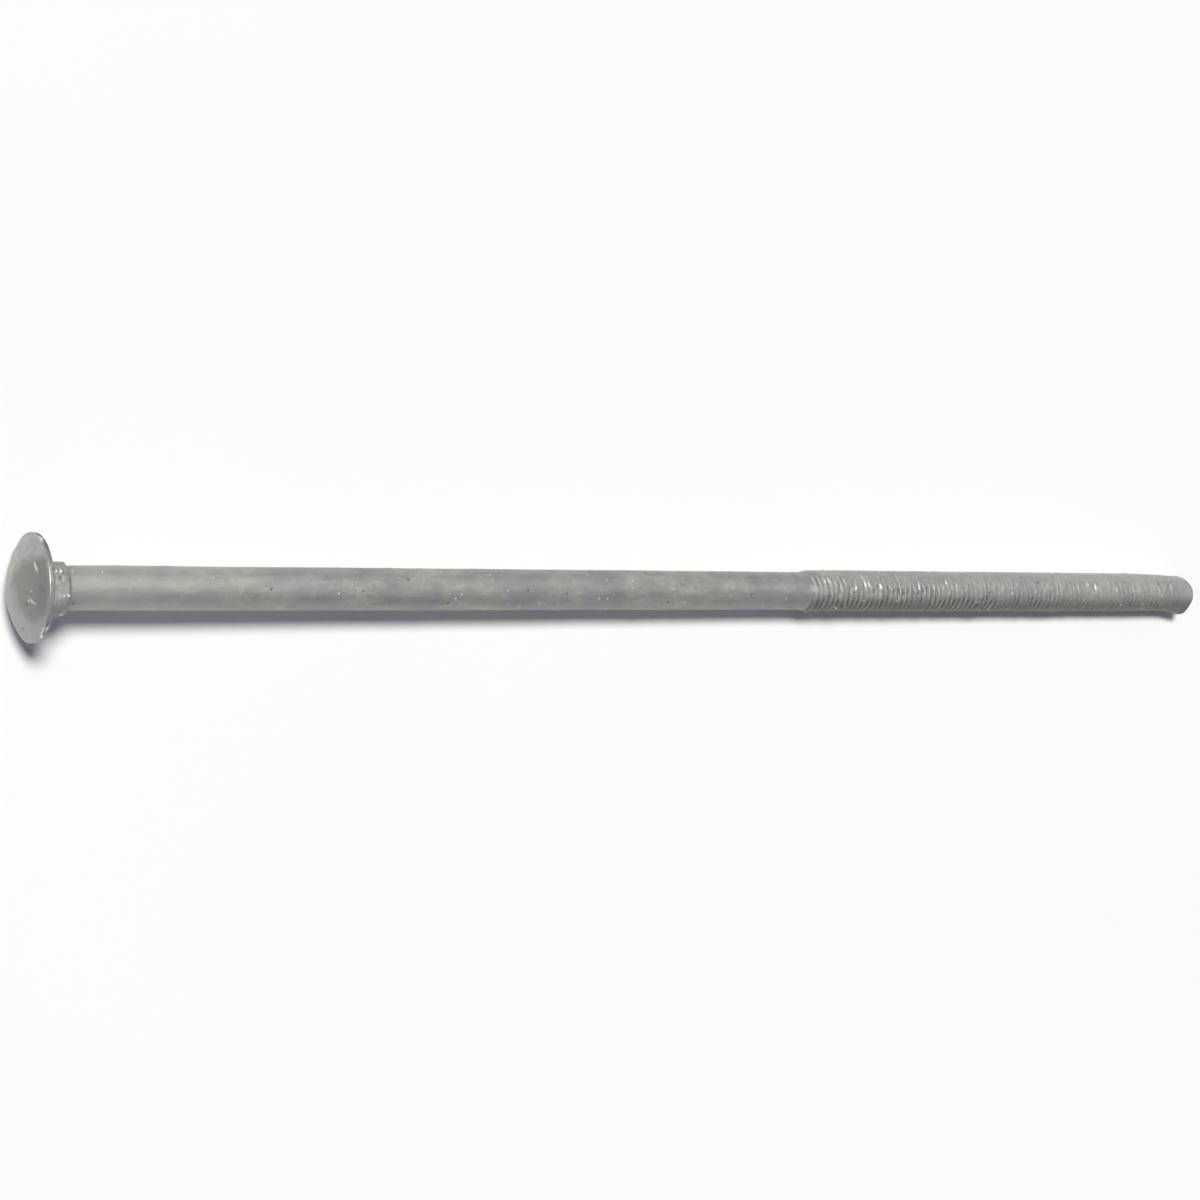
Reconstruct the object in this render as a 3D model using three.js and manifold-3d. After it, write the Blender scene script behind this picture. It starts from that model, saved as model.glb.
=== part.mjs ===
// A carriage bolt: a long steel bolt, hot-dip galvanised, with a low domed head, a square neck under it,
// a plain round shank and a rolled thread. It is cold-headed and rolled from one bar, so it is one solid.
//
// Frame, in millimetres: the bolt lies along X. The origin is on the bolt's axis, in the plane of the flat
// bearing face under the head. The dome is on the -X side and the shank runs along +X to the point.
// The neck's four flats face +Y, -Y, +Z and -Z.

import * as THREE from "three";
import { mergeVertices } from "three/addons/utils/BufferGeometryUtils.js";
import Module from "manifold-3d";

const INCH = 25.4;

// Driving dimensions: a 1/2 in bolt, 13 threads to the inch, 16 in long under its head.
const lengthUnderHead = 16 * INCH;
const threadDiameter = 0.5 * INCH;
const threadPitch = INCH / 13;
const threadLength = 6.5 * INCH; // from the first ridge to the point's end
const headDiameter = 27.8;
const headHeight = 6.1;
const rimThickness = 1.5; // the head's edge, between the dome and the bearing face
const neckOversize = 0.1; // the square's width over the thread's diameter
const neckDepth = 7;
const neckCornerRadius = 3.1;
const neckEndBevel = 0.5;
const plainPointLength = 4.5; // the last turns, filled smooth with zinc
const pointRounding = 1.6; // radius of the rounded edge at the point's end

// How finely round forms are faceted.
const headFacets = 48;
const shankFacets = 20;
const arcSteps = 4; // three.js draws an arc with twice as many

// A rolled thread is raised from a blank of the pitch diameter, so the plain shank keeps that diameter.
const sharpHeight = (threadPitch * Math.sqrt(3)) / 2; // a 60 degree profile run out to sharp edges
const threadDepth = (5 / 8) * sharpHeight;
const pitchDiameter = threadDiameter - (3 / 4) * sharpHeight;
const crestRadius = threadDiameter / 2;
const rootRadius = crestRadius - threadDepth;
const shankRadius = pitchDiameter / 2;
const neckWidth = threadDiameter + neckOversize;
const threadStart = lengthUnderHead - threadLength;
const plainPointStart = lengthUnderHead - plainPointLength;

const wasm = await Module();
wasm.setup();

const galvanisedSteel = new THREE.MeshStandardMaterial({
  name: "galvanised_steel",
  color: 0x9a9c98,
  metalness: 0.7,
  roughness: 0.55,
});

// Closed three.js geometry as a solid that can be joined and cut.
function solidOf(geometry) {
  const bare = geometry.index ? geometry.clone() : geometry;
  bare.deleteAttribute("normal");
  bare.deleteAttribute("uv");
  const merged = mergeVertices(bare);
  return new wasm.Manifold(
    new wasm.Mesh({
      numProp: 3,
      vertProperties: merged.attributes.position.array,
      triVerts: new Uint32Array(merged.index.array),
    }),
  );
}

// A joined solid back as three.js geometry.
function geometryOf(solid) {
  const mesh = solid.getMesh();
  return new THREE.BufferGeometry()
    .setAttribute("position", new THREE.BufferAttribute(mesh.vertProperties, 3))
    .setIndex(new THREE.BufferAttribute(mesh.triVerts, 1));
}

// The outline, drawn as (radius, distance along X), turned round the X axis. A flat of the turned form faces
// each of +Y, -Y, +Z and -Z.
function turned(outline, facets) {
  const geometry = new THREE.LatheGeometry(outline.getPoints(arcSteps), facets, Math.PI / facets);
  geometry.rotateZ(-Math.PI / 2);
  return solidOf(geometry);
}

// The head: a shallow spherical dome, a rounded rim and the flat bearing face.
function head() {
  const radius = headDiameter / 2;
  const rimRounding = rimThickness / 2;
  const domeBase = radius - rimRounding;
  const domeRise = headHeight - rimThickness;
  const sphereRadius = (domeBase ** 2 + domeRise ** 2) / (2 * domeRise);
  const halfAngle = Math.asin(domeBase / sphereRadius);
  const outline = new THREE.Path();
  outline.moveTo(0, -headHeight);
  outline.absarc(0, sphereRadius - headHeight, sphereRadius, -Math.PI / 2, halfAngle - Math.PI / 2, false);
  outline.absarc(domeBase, -rimRounding, rimRounding, -Math.PI / 2, Math.PI / 2, false);
  outline.lineTo(0, 0);
  return turned(outline, headFacets);
}

// The square neck, which beds in the work and keeps the bolt from turning. It starts inside the head.
function neck() {
  const half = neckWidth / 2;
  const straight = half - neckCornerRadius;
  const square = new THREE.Shape();
  square.moveTo(half, -straight);
  square.absarc(straight, straight, neckCornerRadius, 0, Math.PI / 2, false);
  square.absarc(-straight, straight, neckCornerRadius, Math.PI / 2, Math.PI, false);
  square.absarc(-straight, -straight, neckCornerRadius, Math.PI, 1.5 * Math.PI, false);
  square.absarc(straight, -straight, neckCornerRadius, 1.5 * Math.PI, 2 * Math.PI, false);
  const buried = headHeight / 2;
  const geometry = new THREE.ExtrudeGeometry(square, {
    depth: buried + neckDepth - 2 * neckEndBevel,
    bevelThickness: neckEndBevel,
    bevelSize: neckEndBevel,
    bevelOffset: -neckEndBevel,
    bevelSegments: 1,
    curveSegments: arcSteps,
  });
  geometry.rotateY(Math.PI / 2);
  geometry.translate(neckEndBevel - buried, 0, 0);
  return solidOf(geometry);
}

// The plain shank, from inside the neck to the thread, where it slopes down under the first ridges.
function shank() {
  const slope = 1.5 * threadPitch;
  const buried = neckDepth / 2;
  const outline = new THREE.Path();
  outline.moveTo(0, buried);
  outline.lineTo(shankRadius, buried);
  outline.lineTo(shankRadius, threadStart);
  outline.lineTo(rootRadius - threadDepth / 2, threadStart + slope);
  outline.lineTo(0, threadStart + slope);
  return turned(outline, shankFacets);
}

// A right-hand V thread on a solid core, from one X to another and about a turn past each. Its skin is one
// band wound round the axis: from a root line up to the crest line and down to the root line a turn later.
function windThread(from, to) {
  const steps = Math.ceil((to - from) / threadPitch + 1) * shankFacets;
  const points = [];
  const faces = [];
  const onHelix = (step, radius, shift) => {
    const turn = ((step + 0.5) / shankFacets) * 2 * Math.PI;
    const x = from + (step / shankFacets - 1 + shift) * threadPitch;
    points.push(x, radius * Math.cos(turn), radius * Math.sin(turn));
  };
  const rootAt = (step) => step;
  const crestAt = (step) => steps + shankFacets + 1 + step;
  for (let step = 0; step <= steps + shankFacets; step++) onHelix(step, rootRadius, 0);
  for (let step = 0; step <= steps; step++) onHelix(step, crestRadius, 0.5);
  for (let step = 0; step < steps; step++) {
    const [a, b] = [rootAt(step), rootAt(step + 1)];
    const [c, d] = [crestAt(step), crestAt(step + 1)];
    const [e, f] = [rootAt(step + shankFacets), rootAt(step + 1 + shankFacets)];
    faces.push(a, b, d, a, d, c, c, d, f, c, f, e);
  }
  // Each end closes as a fan from a point on the axis.
  const axisStart = points.length / 3;
  points.push(from - threadPitch / 2, 0, 0);
  points.push(from + (steps / shankFacets - 0.5) * threadPitch, 0, 0);
  const fan = (centre, rim) => rim.forEach((point, i) => faces.push(centre, rim[(i + 1) % rim.length], point));
  const firstTurn = Array.from({ length: shankFacets + 1 }, (_, i) => rootAt(i));
  const lastTurn = firstTurn.map((point) => point + steps);
  fan(axisStart, [...firstTurn, crestAt(0)]);
  fan(axisStart + 1, [...lastTurn, crestAt(steps)].reverse());
  const geometry = new THREE.BufferGeometry()
    .setAttribute("position", new THREE.Float32BufferAttribute(points, 3))
    .setIndex(faces);
  return solidOf(geometry);
}

// What the thread is trimmed to: its ridges rise out of the shank over one pitch and stop inside the point.
function threadEnvelope() {
  const outline = new THREE.Path();
  outline.moveTo(0, threadStart);
  outline.lineTo(shankRadius - threadDepth / 2, threadStart);
  outline.lineTo(crestRadius + threadDepth, threadStart + 1.5 * threadPitch);
  outline.lineTo(crestRadius + threadDepth, plainPointStart + threadPitch / 2);
  outline.lineTo(0, plainPointStart + threadPitch / 2);
  return turned(outline, shankFacets);
}

// The plain point: the last turns as a smooth rounded end with a flat face.
function point() {
  const radius = crestRadius - threadDepth / 8;
  const outline = new THREE.Path();
  outline.moveTo(0, plainPointStart);
  outline.lineTo(radius, plainPointStart);
  outline.absarc(radius - pointRounding, lengthUnderHead - pointRounding, pointRounding, 0, Math.PI / 2, false);
  outline.lineTo(0, lengthUnderHead);
  return turned(outline, shankFacets);
}

const thread = windThread(threadStart, plainPointStart).intersect(threadEnvelope());
const oneForging = head().add(neck()).add(shank()).add(thread).add(point());

const carriageBolt = new THREE.Mesh(geometryOf(oneForging), galvanisedSteel);
carriageBolt.name = "carriage_bolt";

const bolt = new THREE.Group();
bolt.add(carriageBolt);

export default bolt;
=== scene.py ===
"""A half-inch carriage bolt, sixteen inches under the head, hot-dip galvanised and lying on a pale floor.

The bolt lies along X with its head at the origin and its square neck's flats facing Y and Z. All lengths below are
in millimetres and become metres when the surface is put into Blender.
"""

from math import asin, atan2, cos, pi, radians, sin, sqrt

import bpy
import numpy as np
from mathutils import Matrix, Vector


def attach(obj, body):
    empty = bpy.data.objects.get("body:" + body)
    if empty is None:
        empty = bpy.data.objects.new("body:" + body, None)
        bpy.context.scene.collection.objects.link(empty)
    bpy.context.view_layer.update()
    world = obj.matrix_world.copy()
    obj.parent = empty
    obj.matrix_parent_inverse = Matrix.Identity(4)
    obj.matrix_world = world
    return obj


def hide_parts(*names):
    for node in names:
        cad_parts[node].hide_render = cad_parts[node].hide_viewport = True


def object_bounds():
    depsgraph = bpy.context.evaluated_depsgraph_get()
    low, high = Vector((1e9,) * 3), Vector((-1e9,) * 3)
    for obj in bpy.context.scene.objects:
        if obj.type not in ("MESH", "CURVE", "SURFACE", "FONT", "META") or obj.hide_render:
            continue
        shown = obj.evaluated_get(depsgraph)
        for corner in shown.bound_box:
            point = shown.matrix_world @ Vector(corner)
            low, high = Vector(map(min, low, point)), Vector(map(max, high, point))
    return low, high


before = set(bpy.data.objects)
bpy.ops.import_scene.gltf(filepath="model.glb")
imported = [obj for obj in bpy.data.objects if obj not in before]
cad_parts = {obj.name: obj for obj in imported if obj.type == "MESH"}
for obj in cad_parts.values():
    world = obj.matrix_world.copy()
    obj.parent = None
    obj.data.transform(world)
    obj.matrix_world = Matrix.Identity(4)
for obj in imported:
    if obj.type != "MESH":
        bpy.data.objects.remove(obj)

cad_low, cad_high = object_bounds()
MM = 0.001

# Sizes that the frame holds.
HEAD_HEIGHT = -cad_low[0] / MM
RIM_RADIUS = min(cad_high[1], cad_high[2]) / MM
LENGTH = cad_high[0] / MM

# Sizes of the bolt: 1/2 in, 13 threads to the inch.
INCH = 25.4
PITCH = INCH / 13
THREAD_LENGTH = 6.5 * INCH
THREAD_START = LENGTH - THREAD_LENGTH
CREST_RADIUS = INCH / 4
SHARP_HEIGHT = PITCH * sqrt(3) / 2
ROOT_RADIUS = CREST_RADIUS - 5 / 8 * SHARP_HEIGHT
SHANK_RADIUS = CREST_RADIUS - 3 / 8 * SHARP_HEIGHT
RIM_THICKNESS = 1.5
RIM_CORNER = 0.3
BEARING_FACE = -0.02  # its x, a hair inside the CAD's plane
NECK_HALF_WIDTH = 6.4
NECK_CORNER = 3.1
NECK_FILLET = 0.5
NECK_DEPTH = 7.0
NECK_SLOPE = 0.9  # how far past its depth the neck reaches while it slopes down to the shank
NECK_SLOPE_MIDDLE = NECK_DEPTH + 0.25
NECK_STEEPNESS = 1.9
THREAD_RISE = 1.6 * PITCH
PLAIN_POINT = 4.5
POINT_START = LENGTH - PLAIN_POINT
POINT_RADIUS = CREST_RADIUS - 0.14
POINT_ROUNDING = 1.0
POINT_CENTRE = 0.4  # radius of the end face's innermost ring

# The end's shear: how far the +Y side is drawn back and in, and the lengths over which it comes on.
SHEAR_BACK, SHEAR_BACK_REACH = 2.2, 12
SHEAR_IN, SHEAR_IN_REACH = 0.7, 28
SHEAR_CURVE = 1.5

# How much of the thread's depth is filled with zinc: everywhere, in patches, and on the +Y side out to an angle in
# radians from it; and near the point, rising from a place over a length.
FILLED_DEPTH, PATCH_DEPTH, RUN_DEPTH, POINT_DEPTH, MOST_FILLED = 0.42, 0.15, 0.70, 0.56, 0.975
RUN_ANGLE, RUN_FADE = 1.35, 1.0
POINT_FILL_START, POINT_FILL_LENGTH = 0.66 * LENGTH, 90
CREST_UNDER = 0.04  # how far the crests stand under the nominal radius

# The mark that the rolling dies left before the thread: its place, width, depth and reach in radians from +Y.
DIE_MARK = THREAD_START - 4.5
DIE_MARK_WIDTH, DIE_MARK_DEPTH = 0.8, 0.07
DIE_MARK_ANGLE, DIE_MARK_FADE = 1.2, 0.6

# Painted shade on the thread's -Y side, which the key light only grazes: how dark it is, and where it
# starts, in radians from +Y.
UNDERSIDE_SHADE, UNDERSIDE_SHADE_ANGLE, UNDERSIDE_SHADE_FADE = 0.42, 1.6, 1.0

# How finely each part of the skin is divided.
HEAD_SIDES = 144
ROD_SIDES = 72
THREAD_ROWS = 9  # to one pitch
SHANK_STEP = 0.8
POINT_GAP = 0.25  # between the thread's last turn and the plain point's first ring


# ---- The zinc's own relief ------------------------------------------------------------------------------------

rng = np.random.default_rng(13)


def waves(count, shortest, longest):
    """Random plane waves: their wave vectors, phases and heights, the long ones highest."""
    length = np.exp(rng.uniform(np.log(shortest), np.log(longest), count))
    direction = rng.normal(size=(count, 3))
    direction /= np.linalg.norm(direction, axis=1, keepdims=True)
    return direction * (2 * pi / length)[:, None], rng.uniform(0, 2 * pi, count), length / longest


SWELL = waves(28, 3.0, 26.0)
PUCKER = waves(24, 1.5, 5.0)
FILLING = waves(30, 2.0, 9.0)
SWELL_HEIGHT = 0.011
PUCKER_HEIGHT = 0.015  # only on the neck, where the zinc drained last
PUCKER_REACH = 2.6  # from the neck's middle
PUCKER_SHARE, LUMP_SHARE = 3, 3.5  # how strongly a millimetre of either changes the finish


def lump_field(count, low, high, spread, height, stretch):
    """Lumps at random places on the bar: centre (x, turn), spread along and round the bar, and height."""
    x = rng.uniform(low, high, count)
    turn = rng.uniform(0, 2 * pi, count)
    size = rng.uniform(*spread, count)
    along = size * rng.uniform(1, stretch, count)
    return np.stack([x, turn, along, size, rng.uniform(*height, count)], axis=1)


ROD_LUMPS = np.concatenate([
    lump_field(120, NECK_DEPTH + 1, THREAD_START, (0.5, 0.9), (0.04, 0.12), 2.5),
    lump_field(70, NECK_DEPTH + 1, THREAD_START, (0.5, 0.8), (-0.10, -0.04), 2.0),
    lump_field(30, NECK_DEPTH + 1, THREAD_START, (1.0, 2.2), (-0.07, 0.09), 4.0),
    lump_field(420, THREAD_START, LENGTH - 1, (0.35, 0.9), (-0.16, 0.26), 1.5),
    lump_field(40, LENGTH - 10, LENGTH, (0.4, 1.0), (-0.16, 0.20), 1.5),
])

# Broad thick places, as spheres of influence: centre (x, y, z), spread and height. They don't change the finish.
RUNS = np.array([
    # the zinc ran off the neck's +Y side and gathered on its -Y side
    (4.6, 6.6, 1.0, 3.2, -0.38),
    (3.2, -6.6, 1.5, 3.4, 1.40),
    # the last of it to drip hangs on the -Y side of the point
    (LENGTH - 3.0, -6.2, -1.2, 3.6, 0.75),
    (LENGTH + 0.4, -6.0, 0.0, 3.0, 1.00),
    (LENGTH, -3.0, 5.4, 2.6, 0.35),
])

# On the head and neck the lumps are spheres of influence: centre (x, y, z), spread and height.
HEAD_LUMPS = np.array([
    # the dome's edge
    (-3.5, 9.2, -4.7, 1.00, 0.30),
    (-4.2, 8.0, -3.6, 0.90, 0.15),
    # a run of zinc
    (-3.35, 5.1, 9.45, 0.40, 0.28),
    (-3.31, 4.55, 9.8, 0.40, 0.26),
    (-3.26, 4.0, 10.1, 0.42, 0.32),
    (-3.20, 3.5, 10.4, 0.40, 0.28),
    (-3.14, 3.0, 10.7, 0.38, 0.28),
    # a scratch's raised edge, and the dent beside it
    (-4.57, -3.2, 7.5, 0.35, 0.20),
    (-4.28, -3.75, 8.0, 0.35, 0.26),
    (-3.98, -4.2, 8.55, 0.38, 0.34),
    (-3.74, -4.6, 8.9, 0.35, 0.24),
    (-3.35, -5.0, 9.5, 0.38, 0.32),
    (-4.68, -4.7, 6.3, 0.80, -0.20),
    # shallow dents
    (-4.11, 8.8, 2.6, 0.80, -0.13),
    (-4.54, 6.3, 5.25, 0.70, -0.10),
    (-5.17, 2.5, 5.9, 0.60, -0.10),
    (-4.59, 2.3, 7.7, 0.60, -0.13),
    (-3.93, 2.1, 9.35, 0.60, -0.11),
    (-5.73, 0.0, 4.05, 0.40, -0.20),
    (-2.52, -2.1, 11.9, 0.80, -0.15),
    (-2.84, -0.6, 11.6, 0.80, -0.12),
    (-4.58, -7.9, -1.7, 0.50, -0.16),
    (-1.50, -9.9, 9.3, 0.60, -0.12),
    (-1.00, -12.4, 5.6, 0.50, -0.10),
    # the neck's puckers
    (5.2, -2.7, 6.4, 0.40, 0.30),
    (6.4, -2.7, 6.3, 0.42, 0.40),
    (4.2, -2.5, 6.4, 0.35, 0.22),
    (3.4, 3.5, 6.5, 0.42, 0.30),
    (4.7, 3.5, 6.4, 0.40, 0.28),
    (4.4, 1.8, 6.4, 0.55, -0.22),
    (2.8, 1.0, 6.4, 0.60, -0.16),
    (3.6, -0.6, 6.4, 0.50, -0.12),
    (2.6, -4.8, 5.8, 0.90, 0.18),
    (5.6, -4.9, 5.4, 0.60, 0.22),
    (5.2, -6.2, 3.6, 0.90, 0.26),
    (3.4, -4.4, 5.9, 0.50, -0.20),
])


def round_bells(points, lumps):
    """Each lump's height times exp(-(distance / spread) squared), summed at each point."""
    height = np.zeros(len(points))
    for cx, cy, cz, spread, rise in lumps:
        offset = points - np.array([cx, cy, cz])
        height += rise * np.exp(-(offset ** 2).sum(1) / spread ** 2)
    return height


def bells(points):
    """Lumps and pits, each falling off as a bell curve from its centre, along the bar and round it."""
    height = np.zeros(len(points))
    x = points[:, 0]
    turn = np.arctan2(points[:, 2], points[:, 1])
    radius = np.hypot(points[:, 1], points[:, 2])
    for lump_x, lump_turn, along, across, rise in ROD_LUMPS:
        near = np.abs(x - lump_x) < 3 * along
        arc = (turn[near] - lump_turn + pi) % (2 * pi) - pi
        distance = ((x[near] - lump_x) / along) ** 2 + (arc * radius[near] / across) ** 2
        height[near] += rise * np.exp(-distance)
    on_head = x < NECK_DEPTH + 3
    height[on_head] += round_bells(points[on_head], HEAD_LUMPS)
    return height


def sum_of(field, points):
    """The waves' sum at each point: every wave's sine, times its height. It is about 1.5 at its greatest."""
    vectors, phases, heights = field
    return (np.sin(points @ vectors.T + phases) * heights).sum(1)


def ease(t):
    """0 up to 0, 1 from 1, and an S curve between: t squared times (3 - 2 t)."""
    t = np.clip(t, 0, 1)
    return t * t * (3 - 2 * t)


def sheared(points):
    """The bar's end was sheared a little askew. A point on the +Y side is moved back along the bolt and in towards
    the axis by an S curve of its x, times a power of its y as a share of the thread's radius."""
    side = np.clip(points[:, 1] / CREST_RADIUS, 0, 1) ** SHEAR_CURVE
    back = SHEAR_BACK * ease((points[:, 0] - LENGTH + SHEAR_BACK_REACH) / SHEAR_BACK_REACH) * side
    inward = SHEAR_IN * ease((points[:, 0] - LENGTH + SHEAR_IN_REACH) / SHEAR_IN_REACH) * side
    return points - np.stack([back, inward, 0 * back], axis=1)


def coat(points, normals, proud, drips_and_rim_light=0.0):
    """The steel's points moved out along their normals by the zinc: its swells, puckers, lumps and runs together.
    With them, how proud each point stands, from 0 in a hollow to 1 on a ridge, and the drips: 1 on a lump of zinc
    and -1 in a pit, added to the rim's painted highlight and painted shade where these are passed in."""
    lumps = bells(points)
    on_neck = np.exp(-((points[:, 0] - NECK_DEPTH / 2) / PUCKER_REACH) ** 4)
    pucker = PUCKER_HEIGHT * sum_of(PUCKER, points) * on_neck
    rise = SWELL_HEIGHT * sum_of(SWELL, points) + pucker + lumps + round_bells(points, RUNS)
    moved = sheared(points + normals * rise[:, None])
    return moved, np.clip(proud + PUCKER_SHARE * pucker, 0, 1), np.clip(drips_and_rim_light + LUMP_SHARE * lumps, -1, 1)


# ---- Outlines -------------------------------------------------------------------------------------------------


def arc(centre_x, centre_r, radius, start, stop, steps):
    """Points on an arc in the outline's plane, as (x, r), with the angle measured from +x towards +r."""
    angle = np.linspace(start, stop, steps)
    return np.stack([centre_x + radius * np.cos(angle), centre_r + radius * np.sin(angle)], axis=1)


def line(start, stop, steps):
    """Points spread evenly along a straight line, its start left out."""
    t = np.linspace(0, 1, steps + 1)[1:, None]
    return np.array(start) * (1 - t) + np.array(stop) * t


def square_radius(turn):
    """The neck's rounded square as a radius at each turn: the flat's distance over the cosine, or near a corner
    the far crossing of the ray with the corner's circle."""
    folded = np.abs((turn + pi / 4) % (pi / 2) - pi / 4)
    straight = NECK_HALF_WIDTH - NECK_CORNER
    on_flat = NECK_HALF_WIDTH / np.cos(folded)
    reach = straight * (np.cos(folded) + np.sin(folded))
    inside = np.maximum(NECK_CORNER ** 2 - straight ** 2 * (1 - np.sin(2 * folded)), 0)
    return np.where(np.tan(folded) <= straight / NECK_HALF_WIDTH, on_flat, reach + np.sqrt(inside))


def thread_height(phase):
    """A rolled thread's outline, from 0 at the root (phase 0) to 1 at the crest (phase 0.5): a triangle wave
    raised to a power, so that its flanks are hollow, stretched past 0 and 1, and held between them by two
    smooth bends."""
    flank = 1 - np.abs(2 * (phase % 1) - 1)
    stretched = 1.26 * flank ** 1.4 - 0.16
    flat_crest = 0.5 * (stretched + 1 - np.sqrt((stretched - 1) ** 2 + 0.02))
    return 0.5 * (flat_crest + np.sqrt(flat_crest ** 2 + 0.03))


def from_plus_y(turn):
    """The angle round the axis from the +Y side, the same both ways, in radians."""
    return np.abs((turn + pi) % (2 * pi) - pi)


def thread_share(x, turn):
    """How far the thread has risen out of the shank, how far the plain point has closed it, each from 0 to 1 by
    an S curve of x, and how much of its depth zinc leaves open: less on the +Y side, where it ran to, and less
    towards the point."""
    rise = ease((x - THREAD_START) / THREAD_RISE)
    ragged = 0.9 * np.sin(2 * turn + 1) + 0.5 * np.sin(5 * turn)
    close = ease((x + ragged - (POINT_START - 2.4 * PITCH)) / (3.1 * PITCH))
    run = RUN_DEPTH * (1 - ease((from_plus_y(turn) - RUN_ANGLE) / RUN_FADE))
    on_bar = np.stack(np.broadcast_arrays(x, CREST_RADIUS * np.cos(turn), CREST_RADIUS * np.sin(turn)), axis=-1)
    patchy = PATCH_DEPTH * sum_of(FILLING, on_bar.reshape(-1, 3)).reshape(on_bar.shape[:-1])
    filled = FILLED_DEPTH + patchy + run + POINT_DEPTH * ease((x - POINT_FILL_START) / POINT_FILL_LENGTH)
    return rise, close, 1 - np.clip(filled, 0, MOST_FILLED)


def die_mark(x, turn):
    """1 along the shallow mark that the rolling dies left before the thread, on the +Y side, and 0 elsewhere: a
    bell curve of x, fading out round the bar."""
    return np.exp(-((x - DIE_MARK) / DIE_MARK_WIDTH) ** 2) * (
        1 - ease((from_plus_y(turn) - DIE_MARK_ANGLE) / DIE_MARK_FADE))


def rod_radius(x, phase, turn):
    """The rod's radius: the plain shank with the dies' mark, then the thread, then the plain point, blended by how
    far the thread has risen and closed."""
    rise, close, depth = thread_share(x, turn)
    threaded = CREST_RADIUS - CREST_UNDER - (CREST_RADIUS - ROOT_RADIUS) * depth * (1 - thread_height(phase))
    plain = SHANK_RADIUS - DIE_MARK_DEPTH * die_mark(x, turn)
    return (plain * (1 - rise) + threaded * rise) * (1 - close) + POINT_RADIUS * close


def rod_proud(x, phase, turn):
    """How proud the rod's outline stands: half on plain parts, more on the thread's ridges, less between them
    and in the dies' mark, and less on the thread's -Y side. Where it stands low the finish paints shade, in the
    hollows, in the dies' mark and on that side, and on the high ridges it paints glints."""
    rise, close, depth = thread_share(x, turn)
    painted_side_shade = UNDERSIDE_SHADE * rise * ease((from_plus_y(turn) - UNDERSIDE_SHADE_ANGLE) / UNDERSIDE_SHADE_FADE)
    ridge = (thread_height(phase) - 0.5) * rise * (1 - close) * (0.06 + 0.70 * depth)
    return 0.5 - 0.2 * die_mark(x, turn) - painted_side_shade + ridge


# ---- The skin -------------------------------------------------------------------------------------------------


def rings(x, radius, sides):
    """A grid of points round the X axis: x is one value a row, radius one value a point."""
    turn = np.arange(sides) * 2 * pi / sides
    x = np.broadcast_to(x[:, None], radius.shape)
    return np.stack([x, radius * np.cos(turn), radius * np.sin(turn)], axis=-1)


def grid_faces(first, rows, sides):
    """Quads between neighbouring rings whose points are numbered from first, row by row."""
    row, side = np.meshgrid(np.arange(rows - 1), np.arange(sides), indexing="ij")
    following = (side + 1) % sides
    here, there = first + row * sides, first + (row + 1) * sides
    quads = np.stack([here + side, here + following, there + following, there + side], axis=-1)
    return quads.reshape(-1, 4).tolist()


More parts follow.
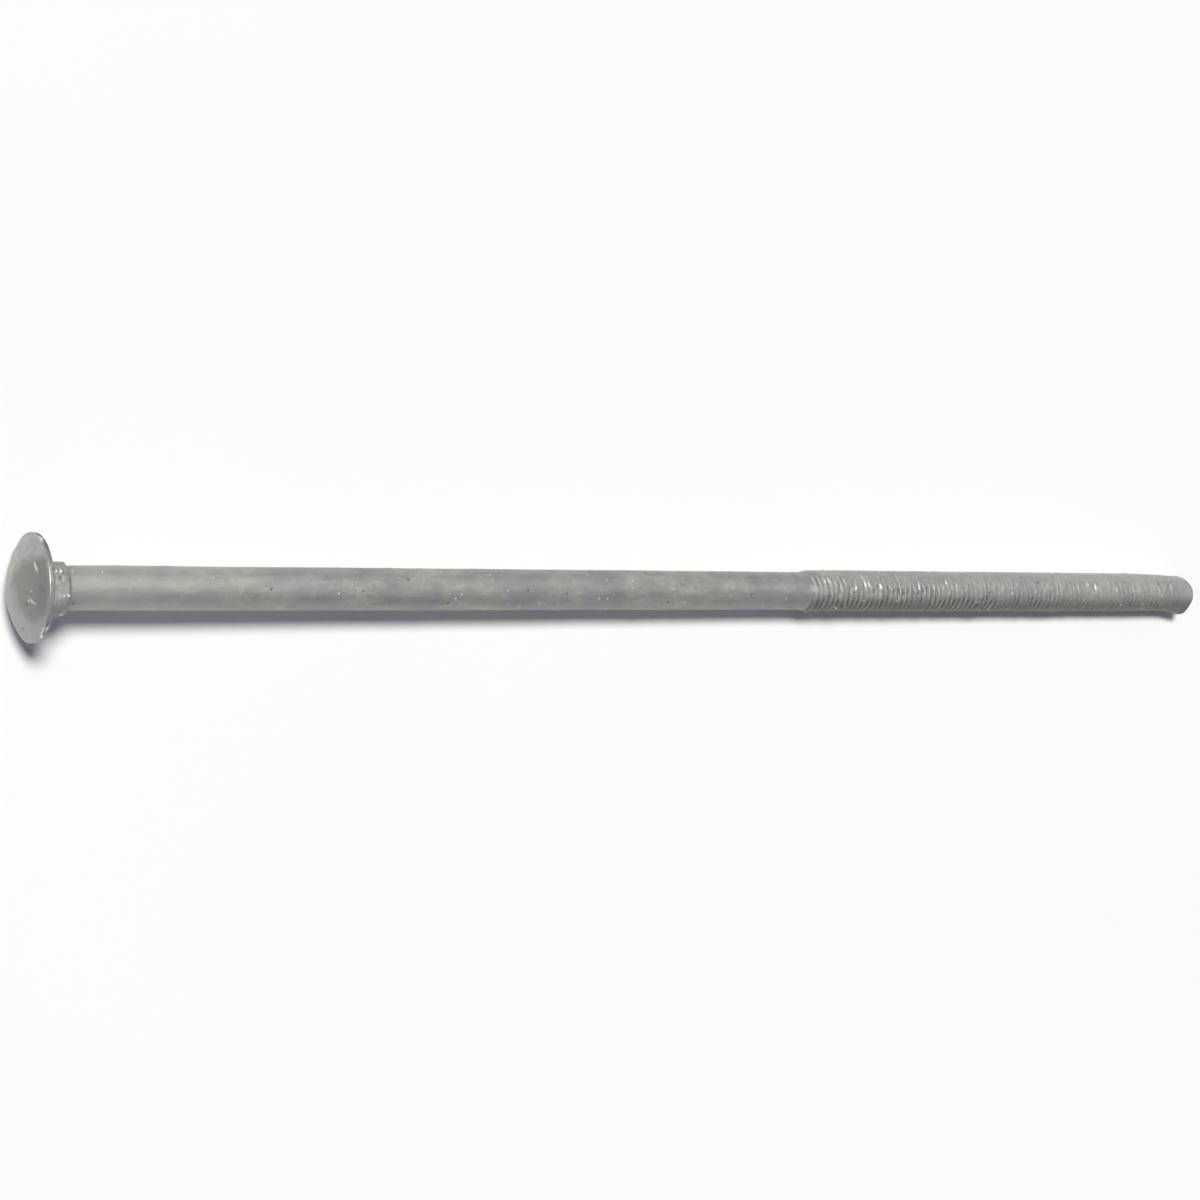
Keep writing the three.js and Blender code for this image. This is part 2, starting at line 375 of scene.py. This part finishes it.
def head_and_neck():
    """Rows from the dome's crown over the rim, in across the bearing face and along the neck to the round shank,
    with how proud each point stands, and the rim's painted highlight and painted shade. The neck's radius is the
    smaller of its square and a cone that slopes down to the shank, and then the larger of that and the shank,
    each with its corner smoothed: half of (the two's sum, less or plus the root of their difference squared and
    a little)."""
    turn = np.arange(HEAD_SIDES) * 2 * pi / HEAD_SIDES
    base = RIM_RADIUS - RIM_CORNER
    rise = HEAD_HEIGHT - RIM_THICKNESS
    sphere = (base ** 2 + rise ** 2) / (2 * rise)
    half_angle = asin(base / sphere)
    dome = arc(sphere - HEAD_HEIGHT, 0, sphere, pi, pi - half_angle, 40)[1:]
    outer = arc(-RIM_THICKNESS + RIM_CORNER, base, RIM_CORNER, pi - half_angle, pi / 2, 5)[1:]
    side = line(outer[-1], (-RIM_CORNER, RIM_RADIUS), 3)
    inner = arc(-RIM_CORNER, base, RIM_CORNER, pi / 2, 0, 5)[1:]
    round_part = np.concatenate([dome, outer, side, inner])
    round_radius = np.broadcast_to(round_part[:, 1:], (len(round_part), HEAD_SIDES))

    square = square_radius(turn)
    inwards = np.linspace(0, 1, 9)[1:, None]
    face_radius = base * (1 - inwards) + (square + NECK_FILLET) * inwards
    face_x = np.full(len(inwards), BEARING_FACE)
    curl = np.linspace(0, pi / 2, 5)[1:]
    curl_radius = square + NECK_FILLET * (1 - np.sin(curl))[:, None]
    curl_x = NECK_FILLET * (1 - np.cos(curl)) + BEARING_FACE

    neck_x = np.linspace(curl_x[-1], NECK_DEPTH + NECK_SLOPE, 30)[1:]
    cone = SHANK_RADIUS + (NECK_SLOPE_MIDDLE - neck_x)[:, None] * NECK_STEEPNESS
    sloped = 0.5 * (square + cone - np.sqrt((square - cone) ** 2 + 0.05))
    neck_radius = 0.5 * (sloped + SHANK_RADIUS + np.sqrt((sloped - SHANK_RADIUS) ** 2 + 0.01))

    x = np.concatenate([round_part[:, 0], face_x, curl_x, neck_x])
    radius = np.concatenate([round_radius, face_radius, curl_radius, neck_radius])
    # How proud each row stands also paints light: the rim's corner and side stand high enough for painted glints,
    # and its inner corner, the bearing face and the neck stand low, painted as shade.
    proud = np.concatenate([
        np.full(len(dome), 0.5), np.linspace(0.54, 0.70, len(outer)), np.full(len(side), 0.62),
        np.linspace(0.6, 0.1, len(inner)), np.full(len(face_x) + len(curl_x), 0.25),
        0.25 + 0.15 * ease(neck_x / 2)])
    # Painted light on the rim: a painted highlight along the top of its outer corner, and painted shade on its
    # side to the left and right of that.
    painted_rim_highlight = np.exp(-((turn - 1.4) / 0.6) ** 2)
    painted_side_shade = np.exp(-((turn - 0.6) / 0.4) ** 2) + 0.8 * np.exp(-((turn - 2.55) / 0.3) ** 2)
    drips_and_rim_light = np.zeros(radius.shape)
    corner = len(dome)
    drips_and_rim_light[corner + 2:corner + len(outer)] = 0.85 * painted_rim_highlight
    drips_and_rim_light[corner + len(outer):len(round_part)] = -painted_side_shade
    return rings(x, radius, HEAD_SIDES), np.repeat(proud, HEAD_SIDES), drips_and_rim_light.ravel()


def plain_shank():
    """Rows along the round shank, up to where the thread's winding starts."""
    start, stop = NECK_DEPTH + NECK_SLOPE + SHANK_STEP, THREAD_START - PITCH
    x = np.linspace(start, stop, int((stop - start) / SHANK_STEP))
    turn = np.arange(ROD_SIDES) * 2 * pi / ROD_SIDES
    return rings(x, rod_radius(x[:, None], 0, turn), ROD_SIDES), rod_proud(x[:, None], 0, turn).ravel()


def wound_thread(turns, start):
    """One band a pitch wide, wound right-handed: point (k, p) is k steps round and p rows up the pitch, so row p
    follows the ridge at a fixed height of its outline. The band's last edge is one turn of row 0."""
    step = np.arange(turns * ROD_SIDES + 1)[:, None]
    row = np.arange(THREAD_ROWS)[None]
    edge = turns * ROD_SIDES + 1 + np.arange(ROD_SIDES)
    k = np.concatenate([np.broadcast_to(step, (len(step), THREAD_ROWS)).ravel(), edge])
    p = np.concatenate([np.broadcast_to(row, (len(step), THREAD_ROWS)).ravel(), np.zeros(ROD_SIDES)])
    x = start + PITCH * (k / ROD_SIDES + p / THREAD_ROWS)
    turn = 2 * pi * k / ROD_SIDES
    radius = rod_radius(x, p / THREAD_ROWS, turn)
    return np.stack([x, radius * np.cos(turn), radius * np.sin(turn)], axis=1), rod_proud(x, p / THREAD_ROWS, turn)


def thread_faces(first, turns, ring_before, ring_after):
    """Quads of the wound band, and the faces that join its first and last turn to a plain ring."""
    last = turns * ROD_SIDES
    edge = first + (last + 1) * THREAD_ROWS

    def number(k, p):
        """The point's number; the top of the pitch is the bottom of the next turn."""
        k = np.where(p == THREAD_ROWS, k + ROD_SIDES, k)
        p = np.where(p == THREAD_ROWS, 0, p)
        return np.where(k <= last, first + k * THREAD_ROWS + p, edge + k - last - 1)

    k, p = np.meshgrid(np.arange(last), np.arange(THREAD_ROWS), indexing="ij")
    quads = np.stack([number(k, p), number(k + 1, p), number(k + 1, p + 1), number(k, p + 1)], axis=-1)
    side = np.arange(ROD_SIDES)
    following = (side + 1) % ROD_SIDES
    before = np.stack([ring_before + side, ring_before + following, number(side + 1, 0), number(side, 0)], axis=-1)
    after = np.stack([number(last + side, 0), number(last + side + 1, 0), ring_after + following,
                      ring_after + side], axis=-1)
    up_the_pitch = np.arange(THREAD_ROWS + 1)
    open_start = [*before[-1, :2].tolist(), *number(0 * up_the_pitch, up_the_pitch).tolist(), int(before[-1, 3])]
    open_end = [*after[0].tolist(), *number(last + 0 * up_the_pitch, up_the_pitch)[:0:-1].tolist()]
    return quads.reshape(-1, 4).tolist() + before[:-1].tolist() + after[1:].tolist() + [open_start, open_end]


def plain_point(start):
    """Rows along the smooth point, round its edge and in across its end."""
    edge = arc(LENGTH - POINT_ROUNDING, POINT_RADIUS - POINT_ROUNDING, POINT_ROUNDING, pi / 2, 0, 9)
    body = line((start, POINT_RADIUS), edge[0], 3)[:-1]
    face = line(edge[-1], (LENGTH, POINT_CENTRE), 5)
    outline = np.concatenate([[(start, POINT_RADIUS)], body, edge, face])
    radius = np.broadcast_to(outline[:, 1:], (len(outline), ROD_SIDES))
    turn = np.arange(ROD_SIDES) * 2 * pi / ROD_SIDES
    proud = rod_proud(np.full((len(outline), 1), LENGTH), 0, turn[None])
    return rings(outline[:, 0], radius, ROD_SIDES), proud.ravel()


def outward(grid):
    """Unit normals of a grid of rings, from its neighbours' differences."""
    along = np.gradient(grid, axis=0)
    around = np.roll(grid, -1, axis=1) - np.roll(grid, 1, axis=1)
    normal = np.cross(around, along)
    return normal / np.linalg.norm(normal, axis=-1, keepdims=True)


def bolt_mesh():
    """The whole bolt as one closed skin: head and neck, shank, thread and point, joined ring to ring."""
    head, head_proud, head_rim_light = head_and_neck()
    shank, shank_proud = plain_shank()
    winding_start = THREAD_START - 0.5 * PITCH
    turns = int((POINT_START - winding_start) / PITCH) - 1
    winding_end = winding_start + (turns + 1) * PITCH
    thread, thread_proud = wound_thread(turns, winding_start)
    point, point_proud = plain_point(winding_end + POINT_GAP)

    radial = thread * (0, 1, 1)
    radial /= np.linalg.norm(radial, axis=1, keepdims=True)
    # The head's drips carry the rim's painted highlight and painted shade.
    coated = [
        coat(head.reshape(-1, 3), outward(head).reshape(-1, 3), head_proud, head_rim_light),
        coat(shank.reshape(-1, 3), outward(shank).reshape(-1, 3), shank_proud),
        coat(thread, radial, thread_proud),
        coat(point.reshape(-1, 3), outward(point).reshape(-1, 3), point_proud),
    ]
    crown = coated[0][0][:HEAD_SIDES].mean(0, keepdims=True)
    tip = coated[3][0][-ROD_SIDES:].mean(0, keepdims=True)
    points = np.concatenate([part[0] for part in coated] + [crown, tip])
    proud = np.concatenate([part[1] for part in coated] + [[0.5, 0.5]])
    drips_and_rim_light = np.concatenate([part[2] for part in coated] + [[0, 0]])
    first_shank, first_thread, first_point, crown_number = np.cumsum([len(part[0]) for part in coated]).tolist()

    faces = grid_faces(0, len(head), HEAD_SIDES)
    faces += grid_faces(first_shank, len(shank), ROD_SIDES)
    faces += thread_faces(first_thread, turns, first_thread - ROD_SIDES, first_point)
    faces += grid_faces(first_point, len(point), ROD_SIDES)

    # The neck's last ring has two sides to each of the shank's, so they join by five-cornered faces.
    fine = np.arange(ROD_SIDES) * 2 + first_shank - HEAD_SIDES
    fine_next = first_shank - HEAD_SIDES + (np.arange(ROD_SIDES) * 2 + 2) % HEAD_SIDES
    coarse = first_shank + np.arange(ROD_SIDES)
    faces += np.stack([fine, fine + 1, fine_next, np.roll(coarse, -1), coarse], axis=1).tolist()

    side = np.arange(HEAD_SIDES)
    faces += np.stack([np.full(HEAD_SIDES, crown_number), (side + 1) % HEAD_SIDES, side], axis=1).tolist()
    ring = crown_number - ROD_SIDES + np.arange(ROD_SIDES)
    faces += np.stack([np.full(ROD_SIDES, crown_number + 1), ring, np.roll(ring, -1)], axis=1).tolist()

    low, high = np.array(cad_low) / MM, np.array(cad_high) / MM
    points = np.clip(points, low, high)
    mesh = bpy.data.meshes.new("galvanised_bolt")
    mesh.from_pydata((points * MM).tolist(), [], faces)
    mesh.polygons.foreach_set("use_smooth", np.ones(len(mesh.polygons), dtype=bool))
    mesh.attributes.new("proud", "FLOAT", "POINT").data.foreach_set("value", proud.astype(np.float32))
    mesh.attributes.new("drips_and_rim_light", "FLOAT", "POINT").data.foreach_set("value", drips_and_rim_light.astype(np.float32))
    mesh.update()
    return mesh


# ---- Finish ---------------------------------------------------------------------------------------------------


# Where the finish changes, each from one place to another, in metres. All but TOP are distances along the bolt.
DOME_END = (-0.0020, -0.0012)
HEAD_END = (0.0, 0.003)
NECK_END = (0.006, 0.012)
# Two spans below, by the neck and by the point, are where the highlight is painted brighter.
BRIGHTER_NEAR_NECK = (0.012, 0.09)
THREADED = (0.240, 0.248)
BRIGHTER_NEAR_POINT = (0.235, 0.36)
CLOSER_GLINTS = (0.28, 0.36)
END_FACE = (0.4020, 0.4040)
TOP = (0.0025, 0.0050)  # across the bolt, towards +Y

# The dome's patch of painted shade: its centre, how much narrower it is across than up, and where it fades.
DOME_SHADE_CENTRE = (-0.004, -0.001, 0.0105)
DOME_SHADE_SQUEEZE = (1.0, 1.35, 1.0)
DOME_SHADE_EDGE = (0.0085, 0.0125)

# Noises are turned away from the bolt's axis, so that their own grid doesn't show as rings. Those drawn out round
# the bolt are turned mostly about it.
ASKEW = (0.6, 0.9, 0.4)
ROUND_THE_BOLT = (0.6, 0.12, 0.1)

# Sizes of the zinc's blotches, in metres, and how far apart its beads and pits are.
CLOUD, PATCH, TINT, STREAK, GLINT, BUNCH = 0.008, 0.0035, 0.020, 0.0024, 0.0023, 0.006
GRAIN = 0.0010  # the real grain is finer than shows, so it's drawn about a millimetre across
BEAD_SPACING, PIT_SPACING = 0.0042, 0.0052
FINE_RELIEF = 0.0002  # height of the relief that is too fine for the mesh


def linear(hex_colour):
    """An sRGB hex colour as linear RGBA."""
    parts = [int(hex_colour[i:i + 2], 16) / 255 for i in (1, 3, 5)]
    return (*[c / 12.92 if c <= 0.04045 else ((c + 0.055) / 1.055) ** 2.4 for c in parts], 1.0)


def add(tree, kind, inputs=(), **settings):
    """Adds one node and returns it. Settings are its own properties. Inputs are its sockets' values, or the nodes
    and sockets that feed them: a list for the sockets in use, in their order, or a dict by name. A node that
    feeds another does so by its first output in use."""
    node = tree.nodes.new("ShaderNode" + kind)
    for name, value in settings.items():
        setattr(node, name, value)
    if isinstance(inputs, dict):
        fed = [(node.inputs[name], value) for name, value in inputs.items()]
    else:
        fed = zip([socket for socket in node.inputs if socket.enabled], inputs)
    for socket, value in fed:
        if isinstance(value, bpy.types.Node):
            value = next(output for output in value.outputs if output.enabled)
        if isinstance(value, bpy.types.NodeSocket):
            tree.links.new(value, socket)
        else:
            socket.default_value = value
    return node


def galvanised_steel():
    """Hot-dip galvanised steel: zinc that froze as it drained off, dulled by weather to a satin grey. The eye sees
    clouds a few millimetres across, warm, cool and greenish, small bright beads and dark pits, and lumps and
    ridges that catch the light. Light and shade are also painted into the colour: painted shade in the hollows,
    on the thread's -Y side, on the rim's side, over a patch of the dome and on the neck by the head, and painted
    highlights on the glints and flecks, on the rim's outer corner and near the neck and the point.

    Each Map Range lists where its ramp starts and stops and then its values there, which are 0 and 1 if they're
    left out, and it holds them beyond both ends. Each Mix goes from its first colour to its second."""
    material = bpy.data.materials.new("hot_dip_zinc")
    material.use_nodes = True
    tree = material.node_tree
    tree.nodes.clear()
    along_bolt = add(tree, "TexCoord").outputs["Object"]
    parts = add(tree, "SeparateXYZ", [along_bolt])
    x, y = parts.outputs["X"], parts.outputs["Y"]
    proud = add(tree, "Attribute", attribute_name="proud").outputs["Fac"]
    # Drips: zinc lumps and pits, and on the rim its painted highlight and painted shade.
    drips_and_rim_light = add(tree, "Attribute", attribute_name="drips_and_rim_light").outputs["Fac"]
    turned = {"rotation_type": "EULER_XYZ"}
    colour = {"data_type": "RGBA"}
    product, total = {"operation": "MULTIPLY"}, {"operation": "ADD"}
    larger, difference = {"operation": "MAXIMUM"}, {"operation": "SUBTRACT"}

    place = add(tree, "VectorRotate", {"Vector": along_bolt, "Rotation": ASKEW}, **turned)
    clouds = add(tree, "TexNoise", [place, 1 / CLOUD, 4.0, 0.6])
    patches = add(tree, "TexNoise", [place, 1 / PATCH, 2.0, 0.5])
    tints = add(tree, "TexNoise", [place, 1 / TINT, 2.0, 0.5])
    grain = add(tree, "TexNoise", [place, 1 / GRAIN, 3.0, 0.55])
    # The zinc ran along the bolt as it drained, so its soft streaks are several times longer than wide.
    drawn_out = add(tree, "VectorMath", [along_bolt, (0.22, 1.0, 1.0)], **product)
    along = add(tree, "VectorRotate", {"Vector": drawn_out, "Rotation": ASKEW}, **turned)
    streaks = add(tree, "TexNoise", [along, 1 / STREAK, 2.0, 0.5])
    # The glints on the thread are drawn out round the bolt, along its ridges.
    squeezed = add(tree, "VectorMath", [along_bolt, (1.6, 0.7, 0.7)], **product)
    around = add(tree, "VectorRotate", {"Vector": squeezed, "Rotation": ROUND_THE_BOLT}, **turned)
    glitter = add(tree, "TexNoise", [around, 1 / GLINT, 1.0, 0.5])
    # They come in bunches, closer together near the point.
    loose = add(tree, "TexNoise", [place, 1 / BUNCH, 1.0, 0.5])
    bunches = add(tree, "Math", [loose, add(tree, "MapRange", [x, *CLOSER_GLINTS, 0.0, 0.14])], **total)

    # Small round beads and pits, each a fraction of a millimetre across.
    beads = add(tree, "TexVoronoi", [place, 1 / BEAD_SPACING])
    bead = add(tree, "MapRange", [beads, 0.05, 0.11, 1.0, 0.0])
    pits = add(tree, "TexVoronoi", [place, 1 / PIT_SPACING])
    pit = add(tree, "MapRange", [pits, 0.04, 0.11, 0.8, 0.0])
    # The ridges' bare crests glint: they are smoother, and painted pale as highlights.
    bunched = add(tree, "MapRange", [bunches, 0.41, 0.51])
    bare = add(tree, "Math", [bunched, add(tree, "MapRange", [glitter, 0.46, 0.54])], **product)
    glint = add(tree, "Math", [add(tree, "MapRange", [proud, 0.50, 0.60]), bare], **product)
    # On the thread the filled hollows are flecked too: smoother, and painted pale as glints only where the
    # highlight falls, on top, short of the +Y edge and clear of the painted shade.
    threaded = add(tree, "MapRange", [x, *THREADED])
    on_thread = add(tree, "Math", [threaded, add(tree, "MapRange", [proud, 0.38, 0.48])], **product)
    before_end = add(tree, "Math", [on_thread, add(tree, "MapRange", [x, *END_FACE, 1.0, 0.0])], **product)
    on_top = add(tree, "Math", [before_end, add(tree, "MapRange", [y, *TOP, 1.0, 0.0])], **product)
    flecks = add(tree, "MapRange", [glitter, 0.51, 0.56])
    flecked = add(tree, "Math", [flecks, add(tree, "MapRange", [bunches, 0.42, 0.50])], **product)
    fleck = add(tree, "Math", [flecked, on_top], **product)
    lit = add(tree, "Math", [glint, fleck], **larger)
    # Beads, zinc lumps and the rim's painted highlight are paler and smoother.
    lumps_and_rim_highlight = add(tree, "Math", [bead, add(tree, "MapRange", [drips_and_rim_light, 0.35, 0.95])], **larger)
    shiny = add(tree, "Math", [lit, add(tree, "Math", [lumps_and_rim_highlight, 0.75], **product)], **larger)
    # Painted highlight: the glints and flecks are painted pale.
    pale = add(tree, "Math", [add(tree, "Math", [lit, 0.90], **product), lumps_and_rim_highlight], **larger)
    # Painted shade where the outline stands low: in the thread's hollows, on its -Y side, in the dies' mark, in
    # the rim's inner corner, on the bearing face and on the neck by the head; and where the drips dip below zero:
    # in dents and on the rim's side.
    painted_shade_where_low = add(tree, "MapRange", [proud, 0.0, 0.42, 0.75, 0.0])
    painted_hollow_shade = add(tree, "Math", [painted_shade_where_low, add(tree, "MapRange", [drips_and_rim_light, -0.8, -0.25, 0.7, 0.0])], **larger)

    warm = add(tree, "MapRange", [clouds, 0.36, 0.64])
    grey = add(tree, "Mix", [warm, linear("#a6a8a9"), linear("#c2c2bc")], **colour)
    specks = add(tree, "MapRange", [grain, 0.38, 0.62, 0.35, 0.0])
    mottled = add(tree, "Mix", [specks, grey, linear("#8f918f")], **colour)
    runs = add(tree, "MapRange", [streaks, 0.40, 0.62, 0.0, 0.5])
    streaked = add(tree, "Mix", [runs, mottled, linear("#c8c9c2")], **colour)
    greenish = add(tree, "MapRange", [patches, 0.45, 0.65, 0.0, 0.7])
    green = add(tree, "Mix", [greenish, streaked, linear("#abafa5")], **colour)
    bluish = add(tree, "MapRange", [tints, 0.46, 0.62, 0.0, 0.5])
    cool = add(tree, "Mix", [bluish, green, linear("#a2a6ae")], **colour)
    # Painted highlight: the shank is painted lighter near the neck, and so are the filled turns near the point,
    # where the highlight is brighter.
    past_neck = add(tree, "MapRange", [x, *NECK_END])
    near_neck = add(tree, "Math", [past_neck, add(tree, "MapRange", [x, *BRIGHTER_NEAR_NECK, 0.4, 0.0])], **product)
    painted_brightening = add(tree, "Math", [near_neck, add(tree, "MapRange", [x, *BRIGHTER_NEAR_POINT, 0.0, 0.5])], **total)
    brightened = add(tree, "Mix", [painted_brightening, cool, linear("#cfcfca")], **colour)
    # Painted shade: the dome is darker over a ragged patch on its upper side.
    narrowed = add(tree, "VectorMath", [along_bolt, DOME_SHADE_SQUEEZE], **product)
    away = add(tree, "VectorMath", [narrowed, DOME_SHADE_CENTRE], operation="DISTANCE")
    ragged = add(tree, "Math", [away, add(tree, "MapRange", [clouds, 0.3, 0.7, 0.003, -0.003])], **total)
    on_dome = add(tree, "MapRange", [x, *DOME_END, 1.0, 0.0])
    dome_shade = add(tree, "Math", [add(tree, "MapRange", [ragged, *DOME_SHADE_EDGE, 1.0, 0.0]), on_dome], **product)
    darker = add(tree, "Mix", [dome_shade, brightened, linear("#949692")], **colour)
    # Painted shade: all these places are mixed towards dark grey.
    shaded = add(tree, "Mix", [painted_hollow_shade, darker, linear("#5e605b")], **colour)
    # The pale colour of the painted highlights, and of the beads and lumps.
    bright = add(tree, "Mix", [pale, shaded, linear("#dedfd6")], **colour)
    pitted = add(tree, "Mix", [pit, bright, linear("#5c5d58")], **colour)

    # The dome drained smoothest.
    satin = add(tree, "MapRange", [clouds, 0.3, 0.7, 0.64, 0.73])
    smoother = add(tree, "Math", [satin, add(tree, "MapRange", [x, *HEAD_END, 0.14, 0.0])], **difference)
    roughness = add(tree, "Math", [smoother, add(tree, "Math", [shiny, 0.28], **product)], **difference)
    soft = add(tree, "Math", [grain, 0.3], **product)
    dents = add(tree, "Math", [soft, add(tree, "Math", [streaks, 0.8], **product)], **total)
    facets = add(tree, "Math", [glitter, add(tree, "Math", [on_thread, 1.5], **product)], **product)
    bumps = add(tree, "Math", [add(tree, "Math", [dents, facets], **total), bead], **total)
    height = add(tree, "Math", [bumps, pit], **difference)
    bump = add(tree, "Bump", {"Height": height, "Distance": FINE_RELIEF, "Strength": 1.0})
    shader = add(tree, "BsdfPrincipled", {
        "Metallic": 0.75, "Base Color": pitted, "Roughness": roughness, "Normal": bump})
    add(tree, "OutputMaterial", {"Surface": shader})
    return material


def floor_material():
    """Matt white board, as under a studio table shot: plain, with the faintest unevenness."""
    material = bpy.data.materials.new("matt_white_board")
    material.use_nodes = True
    tree = material.node_tree
    tree.nodes.clear()
    place = add(tree, "TexCoord").outputs["Object"]
    uneven = add(tree, "TexNoise", [place, 1 / 0.2, 2.0, 0.5])
    shade = add(tree, "Mix", [uneven, linear("#f4f5f7"), linear("#f8f9fa")], data_type="RGBA")
    shader = add(tree, "BsdfPrincipled", {"Base Color": shade, "Roughness": 0.8, "Specular IOR Level": 0.2})
    add(tree, "OutputMaterial", {"Surface": shader})
    return material


# ---- The bolt -------------------------------------------------------------------------------------------------

bolt = bpy.data.objects.new("galvanised_bolt", bolt_mesh())
bpy.context.collection.objects.link(bolt)
bolt.data.materials.append(galvanised_steel())
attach(bolt, "root")
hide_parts("carriage_bolt")

# ---- Floor, light and camera ----------------------------------------------------------------------------------

# The bolt rests on its head's rim and on the edge of its point, so the floor slopes up a little towards the point.
FLOOR_HALF = 4.0
FLOOR_GAP = 0.0001  # keeps the floor just clear of the rim
rim_low = Vector((-RIM_THICKNESS / 2, 0, -RIM_RADIUS)) * MM
point_low = Vector((LENGTH - POINT_ROUNDING, 0, -POINT_RADIUS)) * MM
slope = atan2(point_low.z - rim_low.z, point_low.x - rim_low.x)

floor_mesh = bpy.data.meshes.new("floor")
corners = [(-FLOOR_HALF, -FLOOR_HALF, 0), (FLOOR_HALF, -FLOOR_HALF, 0), (FLOOR_HALF, FLOOR_HALF, 0),
           (-FLOOR_HALF, FLOOR_HALF, 0)]
floor_mesh.from_pydata(corners, [], [(0, 1, 2, 3)])
floor = bpy.data.objects.new("floor", floor_mesh)
bpy.context.collection.objects.link(floor)
floor.matrix_world = Matrix.Translation(rim_low - Vector((0, 0, FLOOR_GAP))) @ Matrix.Rotation(-slope, 4, "Y")
floor_mesh.materials.append(floor_material())


def soft_light(name, aim, direction, distance, size, power, colour):
    """A round lamp of that width, at that distance from what it points at."""
    data = bpy.data.lights.new(name, "AREA")
    data.shape = "DISK"
    data.size = size
    data.energy = power
    data.color = linear(colour)[:3]
    lamp = bpy.data.objects.new(name, data)
    direction = Vector(direction).normalized()
    lamp.location = Vector(aim) + direction * distance
    lamp.rotation_euler = direction.to_track_quat("Z", "Y").to_euler()
    bpy.context.collection.objects.link(lamp)
    return lamp


KEY_LEAN = radians(14.7)  # from straight up towards the +Y side
KEY_OVER_HEAD = -0.3  # the key stands a little past the head
KEY_DISTANCE, KEY_WIDTH, KEY_WATTS = 30.0, 8.4, 8730
middle = (Vector(cad_low) + Vector(cad_high)) / 2
soft_light("key", middle, (KEY_OVER_HEAD, sin(KEY_LEAN), cos(KEY_LEAN)), KEY_DISTANCE, KEY_WIDTH, KEY_WATTS,
           "#fffdf8")

world = bpy.data.worlds.new("pale_room")
world.use_nodes = True
backdrop = world.node_tree.nodes["Background"]
backdrop.inputs["Color"].default_value = linear("#ecedfc")
backdrop.inputs["Strength"].default_value = 0.188
bpy.context.scene.world = world
bpy.context.scene.view_settings.view_transform = "Standard"

# The camera stands over the head's side and looks down along the bolt, with its up direction across the bolt.
CAMERA_LEAN = radians(6)  # the eye's turn about the bolt, from straight above towards -Y
EYE_BEFORE_HEAD = 0.2248
EYE_HEIGHT = 0.5898
LOOK_ALONG = radians(33.74)  # the view's turn from straight down towards the point
LOOK_TILT = radians(-0.232)
LOOK_ROLL = radians(0.232)
LENS = 74.18

away = Vector((0, -sin(CAMERA_LEAN), cos(CAMERA_LEAN)))
across = Vector((0, cos(CAMERA_LEAN), sin(CAMERA_LEAN)))
right = Vector((cos(LOOK_ALONG), 0, 0)) + away * sin(LOOK_ALONG)
back = Vector((-sin(LOOK_ALONG), 0, 0)) + away * cos(LOOK_ALONG)
axes = Matrix((right, across, back)).transposed().to_4x4()
camera_data = bpy.data.cameras.new("camera")
camera_data.lens = LENS
camera_data.sensor_width = 36
camera = bpy.data.objects.new("camera", camera_data)
eye = Vector((-EYE_BEFORE_HEAD, 0, 0)) + away * EYE_HEIGHT
camera.matrix_world = (Matrix.Translation(eye) @ axes @ Matrix.Rotation(LOOK_TILT, 4, "X")
                       @ Matrix.Rotation(LOOK_ROLL, 4, "Z"))
bpy.context.collection.objects.link(camera)
bpy.context.scene.camera = camera
